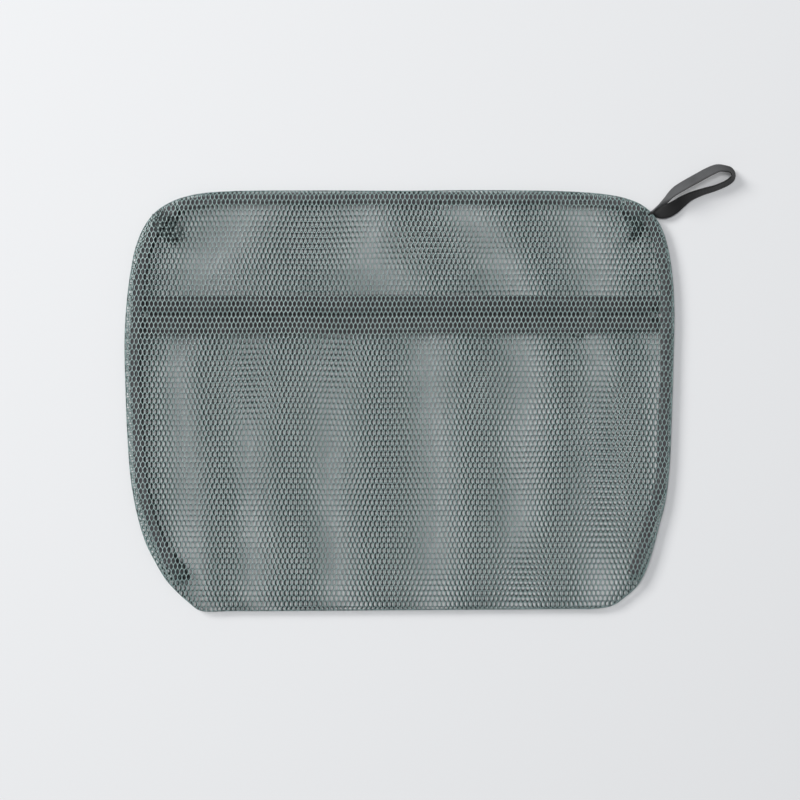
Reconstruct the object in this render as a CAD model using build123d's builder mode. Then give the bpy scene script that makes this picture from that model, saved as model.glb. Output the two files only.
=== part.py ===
from build123d import *
import math
import os

# Mesh laundry bag, lying flat and empty on its rear side.
#
# Frame: millimetres, +Z up, +X to the right and +Y towards the top edge of the
# bag as it is seen from above. The origin is on the surface that the bag lies
# on, under the middle of the bag's outline.
#
# The bag is one piece of net folded at the bottom: the whole front, the bottom
# fold and the rear up to the zipper. A second piece of net closes the rear
# between the zipper and the top seam. Both are sewn together inside out along
# the sides and the top, the raw edges are wrapped in binding tape, and the bag
# is turned, so the bindings are inside. The zipper crosses the rear.

os.makedirs("parts", exist_ok=True)

# ---------------------------------------------------------------- dimensions
NET = 0.8  # thickness of the net
SEAM_Z = 6.0  # height of the side and top seam line
TOP_Z = 8.8  # top of the empty bag

# levels of the pillow: height, how far the outline is drawn in
OUTER = [(0.0, 8.0), (2.2, 3.0), (SEAM_Z, 0.0), (7.6, 2.4), (TOP_Z, 9.0)]
INNER = [(NET, 9.0), (2.7, 3.9), (SEAM_Z, 1.0), (7.1, 3.1), (TOP_Z - NET, 10.0)]

# outline of the bag at the seam line
OUTLINE = [
    (-124.0, 152.2), (-60.0, 152.8), (0.0, 152.6), (60.0, 153.0), (120.0, 152.2),
    (148.0, 150.2), (164.0, 147.2), (175.6, 142.6), (184.4, 135.4), (190.6, 125.6),
    (195.0, 112.0), (198.2, 93.0), (199.8, 66.0), (199.2, 30.0), (198.0, -10.0),
    (196.2, -50.0), (193.2, -74.0), (188.8, -91.0), (184.4, -108.0), (178.6, -125.0),
    (172.4, -135.6), (164.0, -143.2), (156.0, -148.8), (145.0, -151.4), (120.0, -151.8),
    (60.0, -152.2), (0.0, -152.6), (-60.0, -153.0), (-120.0, -153.2), (-145.6, -152.8),
    (-152.6, -147.8), (-161.0, -140.4), (-169.8, -130.6), (-177.6, -117.6), (-184.4, -104.0),
    (-190.6, -84.0), (-195.4, -58.0), (-198.0, -25.0), (-199.4, 10.0), (-200.0, 45.0),
    (-198.4, 72.0), (-195.6, 94.0), (-191.8, 112.0), (-186.0, 126.0), (-177.6, 137.0),
    (-165.0, 145.0), (-147.0, 150.2),
]

# seam allowances and bindings, inside the bag
ALLOWANCE = 9.0  # width of the seam allowance
BIND_IN = 9.7  # inner edge of the binding, from the outline
BIND_OUT = 3.2  # outer edge of the binding's two legs
BIND_T = 0.4  # thickness of the binding tape
BIND_SLOT = 1.2  # room between the legs
ALLOW_T = 1.0  # thickness of the allowances

# zipper
ZIP_Y = 62.5  # middle of the zipper
TAPE_HALF = 14.5  # half of the width of both tapes
TAPE_GAP = 0.6  # half of the gap between the tape edges, where the slider's post runs
TAPE_T = 0.5
TAPE_X = 187.6  # each end of the tapes, at the side bindings
ROOF_Z = 4.2  # underside of the net beside the zipper
TUNNEL_TOP = 17.5  # half width of the raised strip around the zipper
TUNNEL_FOOT = 39.5  # half width where that strip comes down to the surface
SLOT_HALF = 7.0  # half width of the opening in the net
SLOT_X = 187.0
COIL_W, COIL_H = 2.4, 1.7
TAPE_Z = ROOF_Z + NET  # underside of the tapes

# slider and pull tab
SLIDER_X = 143.5
SLIDER_L, SLIDER_W = 13.0, 10.4
PLATE_T = 0.7
TAB_YAW = 225.0  # direction in which the tab lies, degrees from +X
TAB_L, TAB_W, TAB_T = 24.0, 9.6, 0.7
PIN_Z = 1.45  # height of the pull tab's hinge line

# hanging loop
LOOP_W, LOOP_T = 10.0, 0.9
LOOP_ROOT = (183.6, 136.4)  # where the tape leaves the seam
LOOP_DIR = math.degrees(math.atan2(0.4466, 0.8946))
STUB_IN, STUB_OUT = 7.5, 4.2  # sewn-in ends, inside and outside the seam line


# ---------------------------------------------------------------- helpers
def inset(points, by):
    """The closed outline drawn in by a distance, with its sides kept parallel."""
    normals = []
    for i, (xa, ya) in enumerate(points):
        xb, yb = points[(i + 1) % len(points)]
        s = math.hypot(xb - xa, yb - ya)
        # the outline runs clockwise, so its right-hand side is the inside
        normals.append(((yb - ya) / s, -(xb - xa) / s))
    out = []
    for i, (x, y) in enumerate(points):
        (nx, ny), (mx, my) = normals[i - 1], normals[i]
        k = by / (1 + nx * mx + ny * my)
        out.append((x + (nx + mx) * k, y + (ny + my) * k))
    return out


def ring(z0, z1, from_inset, to_inset):
    """A band that follows the outline, between two insets and two heights."""
    with BuildPart() as band:
        with BuildSketch(Plane.XY.offset(z0)):
            with BuildLine():
                Polyline(*inset(OUTLINE, from_inset), close=True)
            make_face()
            with BuildLine():
                Polyline(*inset(OUTLINE, to_inset), close=True)
            make_face(mode=Mode.SUBTRACT)
        extrude(amount=z1 - z0)
    return band.part


def box_of(x0, x1, y0, y1, z0, z1):
    """A plain block given by its limits, used to cut with."""
    with BuildPart() as block:
        with BuildSketch(Plane.XY.offset(z0)):
            with Locations(((x0 + x1) / 2, (y0 + y1) / 2)):
                Rectangle(x1 - x0, y1 - y0)
        extrude(amount=z1 - z0)
    return block.part


def save(part, name):
    part.label = name
    export_step(part, f"parts/{name}.step")
    print(f"{name:24s} solids {len(part.solids())} volume {part.volume:10.1f}")


# ---------------------------------------------------------------- net pillow
with BuildPart() as pillow_outer:
    for z, by in OUTER:
        with BuildSketch(Plane.XY.offset(z)):
            with BuildLine():
                Polyline(*inset(OUTLINE, by), close=True)
            make_face()
    loft(ruled=True)
    # the strip around the zipper is carried above the surface
    with BuildSketch(Plane.YZ.offset(-230)):
        with BuildLine():
            Polyline(
                (ZIP_Y - TUNNEL_FOOT, -1), (ZIP_Y - TUNNEL_FOOT, 0),
                (ZIP_Y - TUNNEL_TOP, ROOF_Z), (ZIP_Y + TUNNEL_TOP, ROOF_Z),
                (ZIP_Y + TUNNEL_FOOT, 0), (ZIP_Y + TUNNEL_FOOT, -1), close=True,
            )
        make_face()
    extrude(amount=460, mode=Mode.SUBTRACT)

with BuildPart() as pillow_inner:
    for z, by in INNER:
        with BuildSketch(Plane.XY.offset(z)):
            with BuildLine():
                Polyline(*inset(OUTLINE, by), close=True)
            make_face()
    loft(ruled=True)
    with BuildSketch(Plane.YZ.offset(-230)):
        with BuildLine():
            Polyline(
                (ZIP_Y - TUNNEL_FOOT - 0.2, -1), (ZIP_Y - TUNNEL_FOOT - 0.2, NET),
                (ZIP_Y - TUNNEL_TOP - 0.2, TAPE_Z), (ZIP_Y + TUNNEL_TOP + 0.2, TAPE_Z),
                (ZIP_Y + TUNNEL_FOOT + 0.2, NET), (ZIP_Y + TUNNEL_FOOT + 0.2, -1), close=True,
            )
        make_face()
    extrude(amount=460, mode=Mode.SUBTRACT)

slot = box_of(-SLOT_X, SLOT_X, ZIP_Y - SLOT_HALF, ZIP_Y + SLOT_HALF, ROOF_Z - 1, TAPE_Z + 0.1)
front_zone = box_of(-230, 230, -230, 230, SEAM_Z, 30)
rear_lower_zone = box_of(-230, 230, -230, ZIP_Y - 0.05, -5, SEAM_Z)
rear_upper_zone = box_of(-230, 230, ZIP_Y + 0.05, 230, -5, SEAM_Z)
# the allowances run round the sides and the top, and end above the bottom fold
allowance_zone = box_of(-230, 230, -136.0, 230, 0, 20)
allowance = ring(SEAM_Z - ALLOW_T / 2, SEAM_Z + ALLOW_T / 2, 0.9, ALLOWANCE) & allowance_zone

# the tape of the loop is sewn in between the allowances at the top right corner
ux, uy = math.cos(math.radians(LOOP_DIR)), math.sin(math.radians(LOOP_DIR))
loop_base = Plane(
    origin=(LOOP_ROOT[0], LOOP_ROOT[1], SEAM_Z), x_dir=(ux, uy, 0), z_dir=(0, 0, 1)
)
with BuildPart() as loop_sewn_ends:
    with BuildSketch(loop_base.offset(-0.4)):
        with Locations(((STUB_OUT - STUB_IN) / 2, 0)):
            Rectangle(STUB_IN + STUB_OUT, LOOP_W)
    extrude(amount=0.8)

# the two skins of the pillow with their allowances, before they are parted
with BuildPart() as whole_skin:
    add(pillow_outer.part)
    add(pillow_inner.part, mode=Mode.SUBTRACT)
    add(allowance)
    add(slot, mode=Mode.SUBTRACT)
    add(loop_sewn_ends.part, mode=Mode.SUBTRACT)

# the front net ends at the bottom fold, where it runs on into the rear net
with BuildPart() as front_net:
    add(whole_skin.part)
    add(front_zone, mode=Mode.INTERSECT)

with BuildPart() as rear_lower_net:
    add(whole_skin.part)
    add(rear_lower_zone, mode=Mode.INTERSECT)

with BuildPart() as rear_upper_net:
    add(whole_skin.part)
    add(rear_upper_zone, mode=Mode.INTERSECT)

# ---------------------------------------------------------------- bindings
BIND_HALF = BIND_SLOT / 2 + BIND_T
binding_ring = ring(SEAM_Z - BIND_HALF, SEAM_Z + BIND_HALF, BIND_OUT, BIND_IN) - ring(
    SEAM_Z - BIND_SLOT / 2, SEAM_Z + BIND_SLOT / 2, 0.0, ALLOWANCE + 0.1
)

top_zone = box_of(-163.0, 163.0, 120.0, 230, 0, 20)
left_zone = box_of(-230, -163.3, -134.0, 230, 0, 20)
right_zone = box_of(163.3, 230, -134.0, 230, 0, 20)

with BuildPart() as top_binding:
    add(binding_ring)
    add(top_zone, mode=Mode.INTERSECT)

with BuildPart() as left_binding:
    add(binding_ring)
    add(left_zone, mode=Mode.INTERSECT)

with BuildPart() as right_binding:
    add(binding_ring)
    add(right_zone, mode=Mode.INTERSECT)


def seam_thread(x0, x1, y0, y1):
    """The line of stitches that runs along a binding near its inner edge."""
    row = ring(SEAM_Z + BIND_HALF, SEAM_Z + BIND_HALF + 0.35, BIND_IN - 2.6, BIND_IN - 2.0)
    stretch = box_of(x0, x1, y0, y1, 0, 20)
    with BuildPart() as thread:
        add(row)
        add(stretch, mode=Mode.INTERSECT)
    return thread.part


top_seam_stitching = seam_thread(-162.0, 162.0, 120, 230)
left_seam_stitching = seam_thread(-230, -164.0, -133.0, 230)
right_seam_stitching = seam_thread(164.0, 230, -133.0, 230)

# ---------------------------------------------------------------- zipper
with BuildPart() as zipper_tape_lower:
    with BuildSketch(Plane.XY.offset(TAPE_Z)):
        with Locations((0, ZIP_Y - (TAPE_HALF + TAPE_GAP) / 2)):
            Rectangle(2 * TAPE_X, TAPE_HALF - TAPE_GAP)
    extrude(amount=TAPE_T)

with BuildPart() as zipper_tape_upper:
    with BuildSketch(Plane.XY.offset(TAPE_Z)):
        with Locations((0, ZIP_Y + (TAPE_HALF + TAPE_GAP) / 2)):
            Rectangle(2 * TAPE_X, TAPE_HALF - TAPE_GAP)
    extrude(amount=TAPE_T)


def coil(side):
    """One half of the nylon coil chain, as the bar that its turns fill."""
    y = ZIP_Y + side * (TAPE_GAP + COIL_W / 2)
    with BuildPart() as bar:
        with BuildSketch(Plane.YZ.offset(-SLOT_X + 1)):
            with Locations((y, TAPE_Z - COIL_H / 2)):
                RectangleRounded(COIL_W, COIL_H, 0.8)
        extrude(amount=2 * (SLOT_X - 1))
    return bar.part


zipper_coil_lower = coil(-1)
zipper_coil_upper = coil(1)


def zip_thread(side):
    """The stitches that hold one zipper tape to the net."""
    with BuildPart() as thread:
        with BuildSketch(Plane.XY.offset(TAPE_Z + TAPE_T)):
            with Locations((0, ZIP_Y + side * 10.8)):
                Rectangle(2 * (TAPE_X - 2), 0.6)
        extrude(amount=0.35)
    return thread.part


zipper_stitching_lower = zip_thread(-1)
zipper_stitching_upper = zip_thread(1)

# a dense bar of thread closes the chain at each end
with BuildPart() as zipper_end_bartacks:
    with BuildSketch(Plane.XY.offset(TAPE_Z + TAPE_T)):
        with Locations((-SLOT_X + 2.5, ZIP_Y), (SLOT_X - 2.5, ZIP_Y)):
            Rectangle(3.0, 12.0)
    extrude(amount=0.5)

# ---------------------------------------------------------------- slider
coil_bottom = TAPE_Z - COIL_H
plate_z = coil_bottom - 0.3  # inner face of the outer plate
plate_low = plate_z - PLATE_T
with BuildPart() as zipper_slider:
    # outer plate, wide at the mouth and narrow at the heel
    with BuildSketch(Plane.XY.offset(plate_low)):
        with BuildLine():
            Polyline(
                (SLIDER_X - SLIDER_L / 2, ZIP_Y - SLIDER_W / 2 + 0.8),
                (SLIDER_X + 1.0, ZIP_Y - SLIDER_W / 2),
                (SLIDER_X + SLIDER_L / 2, ZIP_Y - SLIDER_W / 2),
                (SLIDER_X + SLIDER_L / 2, ZIP_Y + SLIDER_W / 2),
                (SLIDER_X + 1.0, ZIP_Y + SLIDER_W / 2),
                (SLIDER_X - SLIDER_L / 2, ZIP_Y + SLIDER_W / 2 - 0.8), close=True,
            )
        make_face()
    extrude(amount=PLATE_T)
    # side guides around the coil
    with BuildSketch(Plane.XY.offset(plate_z)):
        with Locations((SLIDER_X, ZIP_Y - 4.15), (SLIDER_X, ZIP_Y + 4.15)):
            Rectangle(SLIDER_L - 1.0, 0.9)
    extrude(amount=1.4)
    # post between the two halves of the chain
    with BuildSketch(Plane.XY.offset(plate_z)):
        with Locations((SLIDER_X + 3.6, ZIP_Y)):
            Rectangle(3.6, 0.6)
    extrude(amount=TAPE_Z + TAPE_T + 0.3 - plate_z)
    # inner plate, inside the bag
    with BuildSketch(Plane.XY.offset(TAPE_Z + TAPE_T + 0.3)):
        with Locations((SLIDER_X, ZIP_Y)):
            RectangleRounded(SLIDER_L, SLIDER_W - 1.4, 2.0)
    extrude(amount=PLATE_T)
    # bridge that the pull tab hangs on
    with BuildSketch(Plane.XY.offset(0.1)):
        with Locations((SLIDER_X, ZIP_Y)):
            Rectangle(6.4, 2.0)
    extrude(amount=plate_low - 0.1)
    with BuildSketch(Plane.XY.offset(0.6)):
        with Locations((SLIDER_X, ZIP_Y)):
            Rectangle(4.6, 4.0)
    extrude(amount=plate_low - 0.6, mode=Mode.SUBTRACT)

# ---------------------------------------------------------------- pull tab
tab_x = math.cos(math.radians(TAB_YAW))
tab_y = math.sin(math.radians(TAB_YAW))
tab_plane = Plane(
    origin=(SLIDER_X, ZIP_Y, PIN_Z - TAB_T / 2), x_dir=(tab_x, tab_y, 0), z_dir=(0, 0, 1)
)
with BuildPart() as pull_tab:
    with BuildSketch(tab_plane):
        with Locations((TAB_L / 2 - 0.4, 0)):
            RectangleRounded(TAB_L, TAB_W, 2.4)
        # eye around the bridge
        with Locations((3.0, 0)):
            RectangleRounded(5.2, 6.8, 0.5, mode=Mode.SUBTRACT)
        # hole in the blade
        with Locations((TAB_L - 6.4, 0)):
            SlotOverall(6.4, 3.2, mode=Mode.SUBTRACT)
    extrude(amount=TAB_T)

# ---------------------------------------------------------------- hanging loop
# stations along the tape: distance out, sideways, above the seam, lean of the
# width from upright. The first and last lie flat on each other at the seam.
LOOP_STATIONS = [
    (6.4, 0.0, 0.5, 88), (10.5, 1.4, 1.3, 76), (17, 4.8, 3.0, 50), (28, 7.0, 4.3, 42),
    (40, 7.6, 4.6, 42), (50, 8.0, 4.7, 42), (56.5, 7.6, 4.4, 38), (61.2, 5.2, 3.3, 33),
    (64.6, 2.2, 1.7, 30), (65.3, -0.9, 0.3, 28), (63.8, -3.4, -0.5, 25),
    (59.5, -4.7, -0.95, 22), (50.4, -4.5, -0.95, 20), (40.2, -3.0, -0.8, 24),
    (31, -2.2, -0.5, 33), (23.4, -2.8, -0.8, 48), (15.5, -3.0, -1.0, 66),
    (10.5, -1.6, -0.85, 80), (6.4, -0.4, -0.55, 88),
]
u_dir = Vector(ux, uy, 0)
v_dir = Vector(-uy, ux, 0)
root = Vector(LOOP_ROOT[0], LOOP_ROOT[1], SEAM_Z)
spots = [root + u_dir * a + v_dir * b + Vector(0, 0, c) for a, b, c, d in LOOP_STATIONS]
with BuildPart() as hanging_loop:
    for i, spot in enumerate(spots):
        way = (spots[min(i + 1, len(spots) - 1)] - spots[max(i - 1, 0)]).normalized()
        lean = math.radians(LOOP_STATIONS[i][3])
        # the top edge of the tape leans towards the inside of the loop
        outward = Vector(-way.Y, way.X, 0).normalized()
        width = Vector(0, 0, math.cos(lean)) - outward * math.sin(lean)
        width = (width - way * width.dot(way)).normalized()
        with BuildSketch(Plane(origin=spot, x_dir=width, z_dir=way)):
            Rectangle(LOOP_W, LOOP_T)
    loft(ruled=True)

# bar of stitches across the sewn-in ends of the loop
with BuildPart() as loop_bartack:
    with BuildSketch(loop_base.offset(0.4)):
        with Locations((1.6, 0)):
            Rectangle(1.4, LOOP_W - 1.6)
    extrude(amount=0.35)

# ---------------------------------------------------------------- export
save(front_net.part, "front_net")
save(rear_lower_net.part, "rear_lower_net")
save(rear_upper_net.part, "rear_upper_net")
save(top_binding.part, "top_binding")
save(left_binding.part, "left_binding")
save(right_binding.part, "right_binding")
save(top_seam_stitching, "top_seam_stitching")
save(left_seam_stitching, "left_seam_stitching")
save(right_seam_stitching, "right_seam_stitching")
save(zipper_tape_lower.part, "zipper_tape_lower")
save(zipper_tape_upper.part, "zipper_tape_upper")
save(zipper_coil_lower, "zipper_coil_lower")
save(zipper_coil_upper, "zipper_coil_upper")
save(zipper_stitching_lower, "zipper_stitching_lower")
save(zipper_stitching_upper, "zipper_stitching_upper")
save(zipper_end_bartacks.part, "zipper_end_bartacks")
save(zipper_slider.part, "zipper_slider")
save(pull_tab.part, "pull_tab")
save(loop_sewn_ends.part, "loop_sewn_ends")
save(loop_bartack.part, "loop_bartack")
save(hanging_loop.part, "hanging_loop")
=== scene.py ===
import bpy
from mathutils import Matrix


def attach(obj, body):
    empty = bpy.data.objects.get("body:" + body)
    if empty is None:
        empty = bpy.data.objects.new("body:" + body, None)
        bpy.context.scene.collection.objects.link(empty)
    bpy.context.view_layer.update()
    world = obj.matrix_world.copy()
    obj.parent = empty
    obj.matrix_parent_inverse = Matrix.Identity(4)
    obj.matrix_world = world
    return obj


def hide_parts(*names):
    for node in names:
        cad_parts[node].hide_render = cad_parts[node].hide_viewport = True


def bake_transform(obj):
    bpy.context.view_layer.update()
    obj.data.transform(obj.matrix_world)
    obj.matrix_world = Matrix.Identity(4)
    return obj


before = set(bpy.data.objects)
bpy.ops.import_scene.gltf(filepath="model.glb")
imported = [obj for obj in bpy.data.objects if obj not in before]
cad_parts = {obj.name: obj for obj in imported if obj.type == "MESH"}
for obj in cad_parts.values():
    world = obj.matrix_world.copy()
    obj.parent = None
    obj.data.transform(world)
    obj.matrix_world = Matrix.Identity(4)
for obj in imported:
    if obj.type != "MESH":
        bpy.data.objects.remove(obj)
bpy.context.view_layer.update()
import bpy, bmesh, math
import numpy as np
from mathutils import Vector

MM = 0.001

# ------------------------------------------------------------------ outline
OUTLINE = [
    (-124.0, 152.2), (-60.0, 152.8), (0.0, 152.6), (60.0, 153.0), (120.0, 152.2),
    (148.0, 150.2), (164.0, 147.2), (175.6, 142.6), (184.4, 135.4), (190.6, 125.6),
    (195.0, 112.0), (198.2, 93.0), (199.8, 66.0), (199.2, 30.0), (198.0, -10.0),
    (196.2, -50.0), (193.2, -74.0), (188.8, -91.0), (184.4, -108.0), (178.6, -125.0),
    (172.4, -135.6), (164.0, -143.2), (156.0, -148.8), (145.0, -151.4), (120.0, -151.8),
    (60.0, -152.2), (0.0, -152.6), (-60.0, -153.0), (-120.0, -153.2), (-145.6, -152.8),
    (-152.6, -147.8), (-161.0, -140.4), (-169.8, -130.6), (-177.6, -117.6), (-184.4, -104.0),
    (-190.6, -84.0), (-195.4, -58.0), (-198.0, -25.0), (-199.4, 10.0), (-200.0, 45.0),
    (-198.4, 72.0), (-195.6, 94.0), (-191.8, 112.0), (-186.0, 126.0), (-177.6, 137.0),
    (-165.0, 145.0), (-147.0, 150.2),
]
SEAM_Z, TOP_Z = 6.0, 8.42
BASE_Z = 0.42
ZIP_Y = 62.5
TAPE_Z = 5.0


def smooth(t):
    t = np.clip(t, 0, 1)
    return t * t * (3 - 2 * t)


def catmull(points, n, closed=True):
    """A smooth curve through points, n steps to each stretch."""
    p = np.array(points, float)
    m = len(p)
    out = []
    for i in range(m if closed else m - 1):
        if closed:
            a, b, c, d = p[i - 1], p[i], p[(i + 1) % m], p[(i + 2) % m]
        else:
            a, b, c, d = p[max(i - 1, 0)], p[i], p[i + 1], p[min(i + 2, m - 1)]
        k1 = max(np.linalg.norm(b - a), 1e-6) ** 0.5
        k2 = max(np.linalg.norm(c - b), 1e-6) ** 0.5
        k3 = max(np.linalg.norm(d - c), 1e-6) ** 0.5
        t0, t1 = 0, k1
        t2 = t1 + k2
        t3 = t2 + k3
        for t in np.linspace(t1, t2, n, endpoint=False):
            a1 = (t1 - t) / (t1 - t0) * a + (t - t0) / (t1 - t0) * b if k1 > 1e-3 else b
            a2 = (t2 - t) / (t2 - t1) * b + (t - t1) / (t2 - t1) * c
            a3 = (t3 - t) / (t3 - t2) * c + (t - t2) / (t3 - t2) * d if k3 > 1e-3 else c
            b1 = (t2 - t) / (t2 - t0) * a1 + (t - t0) / (t2 - t0) * a2
            b2 = (t3 - t) / (t3 - t1) * a2 + (t - t1) / (t3 - t1) * a3
            out.append((t2 - t) / (t2 - t1) * b1 + (t - t1) / (t2 - t1) * b2)
    if not closed:
        out.append(p[-1])
    return np.array(out)


def even(line, step, closed=False):
    """Points at even distances along a line."""
    q = np.vstack([line, line[:1]]) if closed else line
    s = np.concatenate([[0], np.cumsum(np.linalg.norm(np.diff(q, axis=0), axis=1))])
    n = max(2, int(round(s[-1] / step)))
    t = np.linspace(0, s[-1], n + 1)
    if closed:
        t = t[:-1]
    return np.stack([np.interp(t, s, q[:, k]) for k in range(q.shape[1])], 1)


EDGE = even(catmull(OUTLINE, 12), 1.2, closed=True)
EDGE_N = len(EDGE)
_t = np.roll(EDGE, -2, 0) - np.roll(EDGE, 2, 0)
_t /= np.linalg.norm(_t, axis=1)[:, None]
EDGE_IN = np.stack([_t[:, 1], -_t[:, 0]], 1)  # the outline runs clockwise


def nearest(p):
    """Signed distance inside the outline, and the nearest point on it."""
    a, b = EDGE, np.roll(EDGE, -1, 0)
    ab = b - a
    l2 = (ab ** 2).sum(1)
    dist = np.empty(len(p))
    spot = np.empty((len(p), 2))
    for k in range(0, len(p), 4000):
        q = p[k:k + 4000]
        t = np.clip(((q[:, None] - a[None]) * ab[None]).sum(2) / l2, 0, 1)
        c = a[None] + t[..., None] * ab[None]
        d2 = ((q[:, None] - c) ** 2).sum(2)
        i = d2.argmin(1)
        near = c[np.arange(len(q)), i]
        side = ((q - near) * EDGE_IN[i]).sum(1)
        dist[k:k + 4000] = np.sqrt(d2[np.arange(len(q)), i]) * np.where(side >= 0, 1, -1)
        spot[k:k + 4000] = near
    return dist, spot


GX, GY, GS = -212.0, -166.0, 2.0
_gx = np.arange(GX, 213, GS)
_gy = np.arange(GY, 167, GS)
_grid = np.stack(np.meshgrid(_gx, _gy, indexing="ij"), -1).reshape(-1, 2)
DIST = nearest(_grid)[0].reshape(len(_gx), len(_gy))


def depth(x, y):
    """Distance inside the outline, from the grid."""
    fx = np.clip((x - GX) / GS, 0, len(_gx) - 1.001)
    fy = np.clip((y - GY) / GS, 0, len(_gy) - 1.001)
    i, j = fx.astype(int), fy.astype(int)
    u, v = fx - i, fy - j
    return (DIST[i, j] * (1 - u) * (1 - v) + DIST[i + 1, j] * u * (1 - v)
            + DIST[i, j + 1] * (1 - u) * v + DIST[i + 1, j + 1] * u * v)


def wobble(x, y, seed, size):
    """Smooth noise between about -1 and 1."""
    r = np.random.RandomState(seed)
    out = np.zeros_like(np.asarray(x, float))
    for k in range(7):
        ang = r.uniform(0, 2 * math.pi)
        f = 2 * math.pi / (size * r.uniform(0.6, 1.5))
        out = out + np.sin(f * (x * math.cos(ang) + y * math.sin(ang)) + r.uniform(0, 6.28))
    return out / 3.2


# ------------------------------------------------------------------ the two nets' surfaces
def front_z(x, y):
    d = depth(x, y)
    q = np.clip(d / 17.0, 0, 1)
    z = SEAM_Z + (TOP_Z - SEAM_Z) * (1 - (1 - q) ** 2.6)
    # the fold at the bottom is lower and rounder than a seam
    bottom = smooth((-118 - y) / 26)
    z = z - 1.2 * bottom * (1 - q) ** 2
    inner = smooth((d - 6) / 40)
    z = z - 0.38 * inner * (1 + wobble(x, y, 3, 95))
    # puckers that run in from the top and side seams
    near = smooth(d / 5) * (1 - smooth((d - 9) / 30))
    z = z + 0.40 * near * (0.6 + wobble(x, y * 0.35, 11, 26))
    # folds that fan out from the two top corners
    for cx, cy, k in ((-178, 132, 1.0), (180, 132, 0.9)):
        r = np.hypot(x - cx, y - cy)
        ang = np.arctan2(y - cy, x - cx)
        z = z + k * 0.7 * np.exp(-((r - 20) / 26) ** 2) * (0.3 + np.sin(7.0 * ang + 0.6)) * smooth((d - 3) / 10)
    return z


def zip_lift(y):
    a = np.abs(y - ZIP_Y)
    return (TAPE_Z - 0.42 - BASE_Z) * (1 - smooth((a - 15.5) / 22.5))


def rear_z(x, y):
    d = depth(x, y)
    q = np.clip(d / 12.0, 0, 1)
    base = BASE_Z + zip_lift(y)
    z = SEAM_Z + (base - SEAM_Z) * (1 - (1 - q) ** 2.4)
    bottom = smooth((-118 - y) / 26)
    z = z - 1.2 * bottom * (1 - q) ** 2
    far = smooth((np.abs(y - ZIP_Y) - 30) / 25) * smooth((d - 14) / 20)
    return z + 0.5 * far * np.clip(1 + wobble(x, y, 21, 70), 0, 2)


# ------------------------------------------------------------------ knit lattice
PC, PR = 3.24, 3.89  # wale and course spacing, mm
PX = 0.7273


def px(x, y):
    return (x - 399.5) * PX, (400.5 - y) * PX


def phase(x, y, knots):
    """Offset between the two nets, in wales. Each knot is (place, slant, value)."""
    k = np.array(knots)
    out = np.zeros_like(x)
    pos = [a + s * y for a, s, _ in knots]
    out = np.full_like(x, k[0, 2], dtype=float)
    out = k[0, 2] + (x - pos[0]) * (k[1, 2] - k[0, 2]) / (pos[1] - pos[0])
    for i in range(len(knots) - 1):
        t = (x - pos[i]) / (pos[i + 1] - pos[i])
        inside = t >= 0
        out = np.where(inside, k[i, 2] + t * (k[i + 1, 2] - k[i, 2]), out)
    return out


def below(x, y):
    """Where the lower rear net's wales meet the front's: whole numbers let light through."""
    knots = [(-203, 0.0, -1.0), (-152.5, -0.10, 0.0), (-107.5, -0.03, 1.0), (-44, 0.0, 2.0),
             (28.5, -0.02, 3.0), (91.5, 0.0, 4.0), (148, 0.0, 5.0), (199, 0.0, 6.0)]
    return phase(x, y + 40, knots)


def above(x, y):
    knots = [(-203, 0.0, -0.75), (-125, 0.9, 0.0), (-11, -0.42, 1.0), (69, -0.8, 2.0),
             (146, -0.3, 3.0), (199, 0.0, 3.8)]
    return phase(x, y - 109, knots)


def spot(x, y, cx, cy, rx, ry):
    return np.exp(-((x - cx) / rx) ** 2 - ((y - cy) / ry) ** 2)


def slip(x, y):
    """Offset between the two nets, in courses."""
    e = 0.10 * wobble(x, y, 5, 120)
    e = e + 0.42 * spot(x, y, -109, 22, 26, 36) + 0.36 * spot(x, y, -50, 32, 24, 26)
    e = e + 0.40 * spot(x, y, 92, -128, 30, 34) + 0.45 * spot(x, y, 150, -50, 26, 58)
    e = e + 0.35 * spot(x, y, 30, 110, 60, 16) - 0.3 * spot(x, y, -60, 120, 40, 20)
    return e


DEEPER = 1.0054  # the rear net lies further from the eye


def front_map(a, b):
    x, y = a * PC, b * PR
    x0, y0 = x.copy(), y.copy()
    for _ in range(5):
        y = y0 - PR * slip(x, y) / 2 + 0.5 * wobble(x0, y0, 31, 150)
        x = x0 - PC * (below(x, y) - 2.5) / 2 + 0.6 * wobble(x0, y0, 32, 170)
    return x, y


def rear_map(a, b, upper):
    x, y = a * PC, b * PR
    x0, y0 = x.copy(), y.copy()
    for _ in range(6):
        shared = 0.6 * wobble(x0, y0, 32, 170)
        y = y0 + PR * slip(x, y) / 2 + 0.5 * wobble(x0, y0, 31, 150)
        if upper:
            x = x0 - PC * ((below(x, y) - 2.5) / 2 - above(x, y)) + shared
        else:
            x = x0 + PC * (below(x, y) - 2.5) / 2 + PC * 2.5 + shared
    return x * DEEPER, y * DEEPER


HOLE = np.array([(0.44, 1.80), (1.15, 0.84), (1.15, -0.84), (0.44, -1.80),
                 (-0.44, -1.80), (-1.15, -0.84), (-1.15, 0.84), (-0.44, 1.80)])
HEX = np.array([(0, 0.75), (0.5, 0.25), (0.5, -0.25), (0, -0.75), (-0.5, -0.25), (-0.5, 0.25)])
# triangles between the shared ring (0-5) and the hole's edge (0-7)
RING = [("r0", "h0", "h7"), ("r0", "r1", "h0"), ("r1", "h1", "h0"), ("r1", "r2", "h1"),
        ("r2", "h2", "h1"), ("r2", "r3", "h2"), ("r3", "h3", "h2"), ("r3", "h4", "h3"),
        ("r3", "r4", "h4"), ("r4", "h5", "h4"), ("r4", "r5", "h5"), ("r5", "h6", "h5"),
        ("r5", "r0", "h6"), ("r0", "h7", "h6")]
CREST = 0.34  # half of the thread's thickness


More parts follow.
